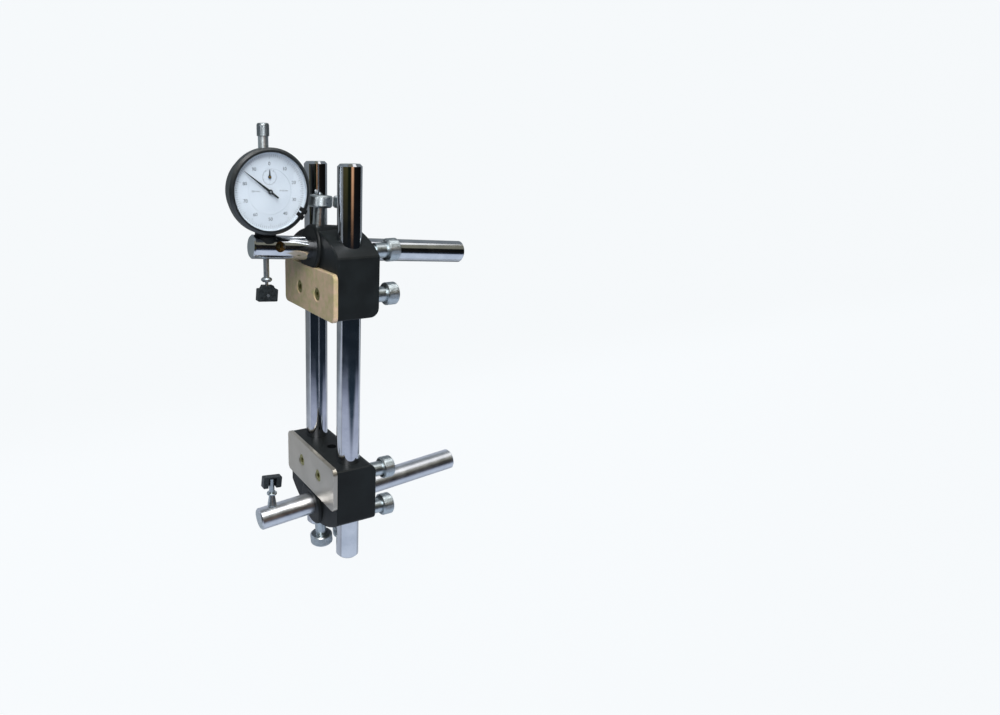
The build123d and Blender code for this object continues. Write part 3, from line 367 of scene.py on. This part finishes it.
def groundSteel(name, plate):
    # hardened tool steel, surface ground along the plate: fine straight lines and a blurred mirror. The straw
    # coloured, half matt copy of it on the upper rest plate is a painted warm reflection
    material, tree = emptyMaterial(name)
    coords = addNode(tree, "TexCoord")
    cloud = addNode(tree, "TexNoise", {}, {
        "Vector": coords.outputs["Object"], "Scale": scaleFor(plate["cloudMm"]), "Detail": 3.0})
    drawn = addNode(tree, "Mapping", {}, {
        "Vector": coords.outputs["Object"], "Scale": (1.0, 1.0, grinding["lineSpread"])})
    lines = addNode(tree, "TexNoise", {}, {
        "Vector": drawn.outputs[0], "Scale": scaleFor(grinding["lineMm"]), "Detail": 3.0})
    tones = addNode(tree, "ValToRGB", {}, {"Fac": cloud.outputs["Fac"]},
                    [(grainLow, plate["dull"]), (grainHigh, plate["bright"])])
    gloss = addNode(tree, "MapRange", {}, {
        "Value": lines.outputs["Fac"], "From Min": grainLow, "From Max": grainHigh,
        "To Min": grinding["roughness"][0], "To Max": grinding["roughness"][1]})
    outputSurface(tree, {
        "Base Color": tones.outputs[0],
        "Metallic": plate["metallic"],
        "Roughness": gloss.outputs[0],
    }, lines.outputs["Fac"], grinding["heightMm"])
    return material


acrylic = {"tint": "#fbfdff", "roughness": 0.02, "ior": 1.49}


def clearAcrylic():
    # pressed acrylic crystal: clear, a faint gloss, and it lets the lamps through to the dial
    material, tree = emptyMaterial("clearAcrylicCrystal")
    glass = addNode(tree, "BsdfPrincipled", {}, {
        "Base Color": linear(acrylic["tint"]),
        "Roughness": acrylic["roughness"],
        "IOR": acrylic["ior"],
        "Transmission Weight": 1.0,
    })
    path = addNode(tree, "LightPath")
    lets = addNode(tree, "Math", {"operation": "MAXIMUM"}, {
        0: path.outputs["Is Shadow Ray"], 1: path.outputs["Is Diffuse Ray"]})
    clear = addNode(tree, "BsdfTransparent", {}, {"Color": linear(acrylic["tint"])})
    mixed = addNode(tree, "MixShader", {}, {0: lets.outputs[0], 1: glass.outputs[0], 2: clear.outputs[0]})
    addNode(tree, "OutputMaterial", {}, {"Surface": mixed.outputs[0]})
    return material


def grainedSurface(name, look):
    # finish whose colour, gloss and relief follow one grain of a real size
    material, tree = emptyMaterial(name)
    coords = addNode(tree, "TexCoord")
    drawn = addNode(tree, "Mapping", {}, {
        "Vector": coords.outputs["Object"], "Scale": look.get("stretch", (1.0, 1.0, 1.0))})
    grain = addNode(tree, "TexNoise", {}, {
        "Vector": drawn.outputs[0], "Scale": scaleFor(look["grainMm"]), "Detail": look.get("detail", 3.0)})
    tones = addNode(tree, "ValToRGB", {}, {"Fac": grain.outputs["Fac"]},
                    [(grainLow, look["dark"]), (grainHigh, look["light"])])
    inputs = {**look["shader"], "Base Color": tones.outputs[0]}
    if "roughness" in look:
        gloss = addNode(tree, "MapRange", {}, {
            "Value": grain.outputs["Fac"], "From Min": grainLow, "From Max": grainHigh,
            "To Min": look["roughness"][0], "To Max": look["roughness"][1]})
        inputs["Roughness"] = gloss.outputs[0]
    outputSurface(tree, inputs, grain.outputs["Fac"], look.get("reliefMm", 0.0))
    return material


# steel socket screws, zinc plated and passivated: olive gold, softly bright
goldZinc = {"dark": "#838255", "light": "#a6a270", "grainMm": 0.8, "roughness": (0.38, 0.52),
            "reliefMm": 0.003, "shader": {"Metallic": 1.0}}
# the same plate darkened with painted shade, where it sits deep in the stem clamp's hole
recessShadedZinc = {**goldZinc, "dark": "#3a3927", "light": "#55523a", "roughness": (0.3, 0.45)}

# turned steel, nickel plated: a pale mirror, slightly soft on the thumb screws. The spindle's cap has a greyer
# copy, painted shade, and its tube a whiter and more matt copy, painted light
paleNickel = {"dark": "#abb4b8", "light": "#bdc5c8", "grainMm": 1.6, "roughness": (0.27, 0.38),
              "reliefMm": 0.002, "shader": {"Metallic": 1.0}}
shadedNickel = {**paleNickel, "dark": "#8a9296", "light": "#99a0a3", "roughness": (0.28, 0.4)}
litNickel = {**paleNickel, "dark": "#c9d3d8", "light": "#d7e0e3", "roughness": (0.38, 0.48)}

# turned aluminium with black stove enamel: smooth, glossier than the castings, most on the bezel, whose copy is
# also lighter, painted light
caseCoat = {"dark": "#0e1112", "light": "#171b1c", "grainMm": 2.2, "roughness": (0.3, 0.4),
            "reliefMm": 0.003, "shader": {"IOR": 1.52, "Specular IOR Level": 0.3}}
# bezel: lighter copy of the case enamel, painted light
litBezelCoat = {"dark": "#131719", "light": "#1c2225", "grainMm": 2.2, "roughness": (0.28, 0.38),
             "reliefMm": 0.003, "shader": {"IOR": 1.52, "Specular IOR Level": 0.75}}

# enamelled aluminium dial sheet: matt cool white, faintly cloudy
dialCoat = {"dark": "#ccd3d9", "light": "#d5dbe0", "grainMm": 16.0, "shader": {"Roughness": 0.45}}

# pad printed ink on the dial: charcoal and matt
printInk = {"dark": "#23282c", "light": "#2f353a", "grainMm": 0.4, "shader": {"Roughness": 0.5}}

# stamped steel hands, matt black lacquer
handCoat = {"dark": "#0b0e10", "light": "#1a2022", "grainMm": 0.6, "shader": {"Roughness": 0.42}}

# moulded black ABS: even black, a soft sheen, a faint tool grain
mouldedBlack = {"dark": "#0e1011", "light": "#191c1d", "grainMm": 0.5, "roughness": (0.3, 0.42),
                "reliefMm": 0.004, "shader": {"IOR": 1.54}}

# stainless stem and spindle, ground round: a grey mirror with hair lines round the bar, drawn
# coarser than the real ones, as coarse as they need to show
stemSteel = {"dark": "#a6afb2", "light": "#c0c8cb", "grainMm": 0.3, "detail": 2.0,
             "stretch": (0.1, 1.0, 0.1), "roughness": (0.28, 0.4), "reliefMm": 0.001,
             "shader": {"Metallic": 1.0}}

# hardened contact shoes, chemically blacked: black with a dull metal glint
blackedSteel = {"dark": "#1a1e20", "light": "#31383b", "grainMm": 1.1, "roughness": (0.3, 0.44),
                "reliefMm": 0.003, "shader": {"Metallic": 0.35}}

# free cutting brass, turned and left bare: warm yellow, dulled in patches
cleanBrass = {"dark": "#9c7a3c", "light": "#c9a45c", "grainMm": 0.7, "roughness": (0.22, 0.38),
              "reliefMm": 0.002, "shader": {"Metallic": 1.0}}
# the same brass darkened to brown with painted shade, where it sits in the stem clamp's hole
recessShadedBrass = {**cleanBrass, "dark": "#2a2013", "light": "#5b4320", "grainMm": 1.2, "roughness": (0.4, 0.55)}

finishes = {
    "chrome_bar": hardChrome("hardChromeArmBar", (1, 0, 0), brightArmRoughness),
    "black_block": satinEnamel(),
    "ground_steel": groundSteel("greyGroundToolSteel", greyPlate),
    "socket_screw": grainedSurface("passivatedZincScrew", goldZinc),
    "nickel_screw": grainedSurface("turnedNickelPlate", paleNickel),
    "black_case": grainedSurface("stoveEnamelledCase", caseCoat),
    "clear_crystal": clearAcrylic(),
    "white_dial": grainedSurface("mattWhiteDialEnamel", dialCoat),
    "black_plastic": grainedSurface("mouldedBlackAbs", mouldedBlack),
    "steel_spindle": grainedSurface("groundStainlessStem", stemSteel),
    "movement_brass": grainedSurface("turnedBrass", cleanBrass),
    "black_hand": grainedSurface("mattBlackHandLacquer", handCoat),
    "black_shoe": grainedSurface("chemicallyBlackedSteel", blackedSteel),
}
# nodes whose finish differs from the rest of their slot
ownFinishes = {
    "column_dial_side": hardChrome("hardChromeColumnBar", (0, 1, 0), columnRoughness),
    "anvil_arm": hardChrome("satinChromeArmBar", (1, 0, 0), satinArmRoughness),
    # upper rest plate: straw, half matt copy of the ground steel, painted warm reflection
    "indicator_rest_plate": groundSteel("groundToolSteelPaintedWarmReflection", warmReflectionPlate),
    "bezel": grainedSurface("stoveEnamelledBezelPaintedLight", litBezelCoat),
    # spindle cap greyer: painted shade; spindle tube whiter: painted light
    "spindle_cap": grainedSurface("nickelPlatePaintedShade", shadedNickel),
    "spindle_tube": grainedSurface("nickelPlatePaintedLight", litNickel),
    # stem clamp's cotter and screw: darkened with painted shade of their deep hole
    "stem_clamp_cotter": grainedSurface("turnedBrassPaintedRecessShade", recessShadedBrass),
    "stem_clamp_screw": grainedSurface("zincScrewPaintedRecessShade", recessShadedZinc),
}
ownFinishes["column_rest_side"] = ownFinishes["column_dial_side"]
ink = grainedSurface("padPrintedInk", printInk)


def dressNodes():
    slotOf = {row["node"]: row["material_slot"] for row in frame["record"]["subparts"]}
    for name, thing in frame["nodes"].items():
        thing.data.materials.clear()
        thing.data.materials.append(ownFinishes.get(name, finishes[slotOf[name]]))


dressNodes()

print("stage 3: knurled rims")


def addPiece(name, mesh, material, body):
    mesh.name = name
    mesh.materials.append(material)
    thing = bpy.data.objects.new(name, mesh)
    bpy.context.scene.collection.objects.link(thing)
    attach(thing, body)


def meshFrom(form):
    # mesh of a finished form, its faces turned outwards
    bmesh.ops.recalc_face_normals(form, faces=form.faces)
    mesh = bpy.data.meshes.new("piece")
    form.to_mesh(mesh)
    form.free()
    return mesh


def closeLoops(form, loops):
    # faces between each loop of points and the next
    for one, two in zip(loops, loops[1:]):
        for index in range(len(one)):
            after = (index + 1) % len(one)
            form.faces.new((one[index], one[after], two[after], two[index]))


knurl = {"pitchMm": 0.9, "depthMm": 0.07, "sharpness": 1.3, "stepsPerPitch": 6, "leastRows": 4,
         "wallMm": 0.35, "endMm": 0.12, "liftMm": 0.02, "bandMm": 0.02}


def rimOf(nodeName, middle, axis):
    # centre line point, axis, radius and ends of a turned node's widest band, read from its vertices
    middle = Vector(middle)
    axis = Vector(axis).normalized()
    rows = []
    for vertex in frame["nodes"][nodeName].data.vertices:
        offset = vertex.co - middle
        along = offset.dot(axis)
        rows.append((along, (offset - along * axis).length))
    radius = max(row[1] for row in rows)
    band = [row[0] for row in rows if row[1] > radius - knurl["bandMm"] * mm]
    return middle, axis, radius, min(band), max(band)


def knurledSleeve(middle, axis, radius, low, high):
    # diamond knurl rolled on the rim: crossed helical ridges on a thin closed sleeve
    pitchSteps = knurl["stepsPerPitch"]
    steps = round(2 * pi * radius / (knurl["pitchMm"] * mm)) * pitchSteps
    low += knurl["endMm"] * mm
    high -= knurl["endMm"] * mm
    rows = max(knurl["leastRows"], round((high - low) * steps / (2 * pi * radius)))
    outer = radius + knurl["liftMm"] * mm
    inner = radius - knurl["wallMm"] * mm
    across = axis.orthogonal().normalized()
    side = axis.cross(across)
    form = bmesh.new()

    def riseAt(index, row):
        # share of the depth, 1 on the crest of either of the two crossed ridges
        first = (index + row) % pitchSteps / pitchSteps
        second = (index - row) % pitchSteps / pitchSteps
        offCrest = min(abs(first - 0.5), abs(second - 0.5)) * 2
        return 1 - min(1, offCrest * knurl["sharpness"])

    def loopAt(along, distances):
        loop = []
        for index, distance in enumerate(distances):
            turn = 2 * pi * index / steps
            out = across * cos(turn) + side * sin(turn)
            loop.append(form.verts.new(middle + axis * along + out * distance))
        return loop

    loops = [loopAt(low, [outer] * steps)]
    for row in range(1, rows):
        crests = [outer + riseAt(index, row) * knurl["depthMm"] * mm for index in range(steps)]
        loops.append(loopAt(low + (high - low) * row / rows, crests))
    loops.append(loopAt(high, [outer] * steps))
    loops.append(loopAt(high, [inner] * steps))
    loops.append(loopAt(low, [inner] * steps))
    closeLoops(form, loops + loops[:1])
    return meshFrom(form)


def makeKnurls():
    # a thumb screw's centre line is its joint's own, the cap's runs up the middle of its box
    lineOf = {joint["child"]: (joint["pos_m"], joint["axis"])
              for joint in frame["joints"] if joint["type"] == "hinge"}
    bodyOf = {member: body for body, members in frame["record"]["behaviour"]["bodies"].items()
              for member in members}
    lines = {name: lineOf[bodyOf[name]] for name in frame["nodes"] if "_screw_" in name}
    capLow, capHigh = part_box("spindle_cap")
    lines["spindle_cap"] = ((capLow + capHigh) / 2, (0, 1, 0))
    for name, line in lines.items():
        material = frame["nodes"][name].data.materials[0]
        addPiece(name + "_knurl", knurledSleeve(*rimOf(name, *line)), material, bodyOf[name])


makeKnurls()

print("stage 4: dial print")

dialLow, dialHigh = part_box("dial_plate")
counterLow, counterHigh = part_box("counter_wheel")
dialCentre = Vector(((dialLow.x + dialHigh.x) / 2, (dialLow.y + dialHigh.y) / 2, dialHigh.z))
counterCentre = Vector((dialCentre.x, (counterLow.y + counterHigh.y) / 2, dialCentre.z))
printed = {"liftMm": 0.01, "thickMm": 0.03, "ringSteps": 96}
printLift = Vector((0, 0, printed["liftMm"] * mm))


def radialBar(form, centre, angle, innerMm, outerMm, widthMm):
    # thin printed bar along a radius
    out = Vector((cos(angle), sin(angle), 0))
    sideways = Vector((-sin(angle), cos(angle), 0)) * widthMm * mm / 2
    outline = [centre + out * innerMm * mm - sideways, centre + out * outerMm * mm - sideways,
               centre + out * outerMm * mm + sideways, centre + out * innerMm * mm + sideways]
    low = [form.verts.new(point) for point in outline]
    high = [form.verts.new(point + Vector((0, 0, printed["thickMm"] * mm))) for point in outline]
    form.faces.new(low[::-1])
    form.faces.new(high)
    closeLoops(form, [low, high])


def flatRing(form, centre, innerMm, outerMm, thickMm):
    # closed flat ring, its underside at the centre's height
    steps = printed["ringSteps"]
    loops = []
    for radiusMm, riseMm in [(innerMm, 0), (outerMm, 0), (outerMm, thickMm), (innerMm, thickMm)]:
        loop = []
        for step in range(steps):
            angle = 2 * pi * step / steps
            offset = Vector((cos(angle) * radiusMm, sin(angle) * radiusMm, riseMm)) * mm
            loop.append(form.verts.new(centre + offset))
        loops.append(loop)
    closeLoops(form, loops + loops[:1])


seamLip = {"innerMm": 13.8, "outerMm": 14.1, "dropMm": 0.1, "thickMm": 0.3}


def makeSeamLip():
    # rebate of the fixed centre, which closes the seam below the turning ring
    form = bmesh.new()
    drop = Vector((0, 0, (seamLip["dropMm"] + seamLip["thickMm"]) * mm))
    flatRing(form, dialCentre - drop, seamLip["innerMm"], seamLip["outerMm"], seamLip["thickMm"])
    addPiece("dial_seam_lip", meshFrom(form), finishes["white_dial"], "indicator_unit")


ticks = {"count": 100, "outerMm": 22.6, "lengthMm": 1.7, "fifthMm": 2.4, "tenthMm": 2.9, "widthMm": 0.13}


def makeTicks():
    form = bmesh.new()
    for index in range(ticks["count"]):
        kind = "tenthMm" if index % 10 == 0 else "fifthMm" if index % 5 == 0 else "lengthMm"
        angle = pi / 2 + 2 * pi * index / ticks["count"]
        radialBar(form, dialCentre + printLift, angle, ticks["outerMm"] - ticks[kind], ticks["outerMm"],
                  ticks["widthMm"])
    addPiece("dial_ticks", meshFrom(form), ink, "bezel_ring")


counterMarks = {"count": 10, "radiusMm": 4.6, "lengthMm": 0.9, "lineMm": 0.12}


def makeCounterMarks():
    # small circle of the revolution counter, with a mark for each turn of the main hand
    form = bmesh.new()
    centre = counterCentre + printLift
    radius, line = counterMarks["radiusMm"], counterMarks["lineMm"]
    flatRing(form, centre, radius - line, radius, printed["thickMm"])
    for index in range(counterMarks["count"]):
        angle = pi / 2 + 2 * pi * index / counterMarks["count"]
        radialBar(form, centre, angle, radius - counterMarks["lengthMm"], radius, line)
    addPiece("counter_marks", meshFrom(form), ink, "indicator_unit")


lettering = {"numbers": 10, "numberRadiusMm": 16.9, "numberMm": 2.9,
             "unitMm": 1.5, "unitSideMm": 9.2, "unitRiseMm": 0.5, "curveSteps": 4}


def makeText(name, text, offset, sizeMm, body):
    # text of the print's thickness, centred at an offset from the dial's centre
    data = bpy.data.curves.new(name, "FONT")
    data.body = text
    data.size = sizeMm * mm
    data.align_x = "CENTER"
    data.align_y = "CENTER"
    data.extrude = printed["thickMm"] * mm / 2
    data.resolution_u = lettering["curveSteps"]
    holder = bpy.data.objects.new(name, data)
    mesh = bpy.data.meshes.new_from_object(holder)
    bpy.data.objects.remove(holder)
    halfThick = Vector((0, 0, printed["thickMm"] * mm / 2))
    mesh.transform(Matrix.Translation(dialCentre + offset * mm + printLift + halfThick))
    mesh.materials.clear()
    addPiece(name, mesh, ink, body)


def makeLettering():
    for index in range(lettering["numbers"]):
        number = str(index * ticks["count"] // lettering["numbers"])
        angle = pi / 2 - 2 * pi * index / lettering["numbers"]
        offset = Vector((cos(angle), sin(angle), 0)) * lettering["numberRadiusMm"]
        makeText("number_" + number, number, offset, lettering["numberMm"], "bezel_ring")
    for side, text, sideways in (("left", "0.01 mm", -1), ("right", "0-10 mm", 1)):
        offset = Vector((sideways * lettering["unitSideMm"], lettering["unitRiseMm"], 0))
        makeText("unit_" + side, text, offset, lettering["unitMm"], "indicator_unit")


makeSeamLip()
makeTicks()
makeCounterMarks()
makeLettering()

print("stage 5: finish")
